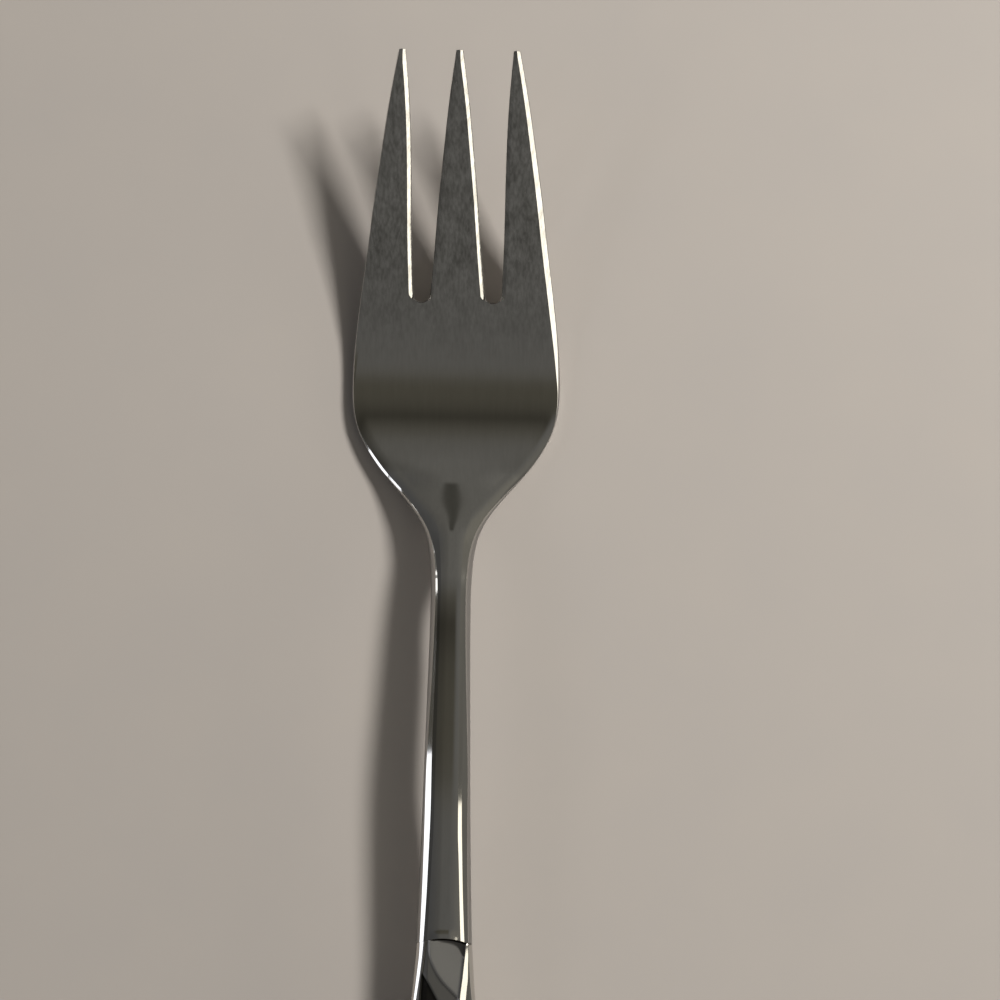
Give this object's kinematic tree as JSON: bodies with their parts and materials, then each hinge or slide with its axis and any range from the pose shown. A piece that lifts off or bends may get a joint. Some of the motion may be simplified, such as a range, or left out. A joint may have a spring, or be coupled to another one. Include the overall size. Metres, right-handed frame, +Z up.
{
  "type": "salad fork",
  "caption": "Short table fork with broad tapered tines, a flat palm, a slender faceted neck and a spatulate hollow handle with a recessed panel.",
  "frame": {"origin": "on the table, under the middle of the fork's length and width, with the fork lying on its back", "axes": "+Y from the handle to the tine tips, +Z up out of the front of the fork, +X to the right across the tines"},
  "size_m": [0.0258, 0.168, 0.0161],
  "materials": {
    "head_steel": "satin brushed along the tines, polished on the neck and the edges",
    "shell_steel": "polished, darkened in the recesses of the ornament",
    "solder": "polished flush",
    "cement": "cast, hidden inside the handle"
  },
  "bodies": {
    "root": {"fork_head": "head_steel", "handle_front_shell": "shell_steel", "handle_back_shell": "shell_steel", "seam_solder": "solder", "handle_filler": "cement"}
  },
  "joints": []
}
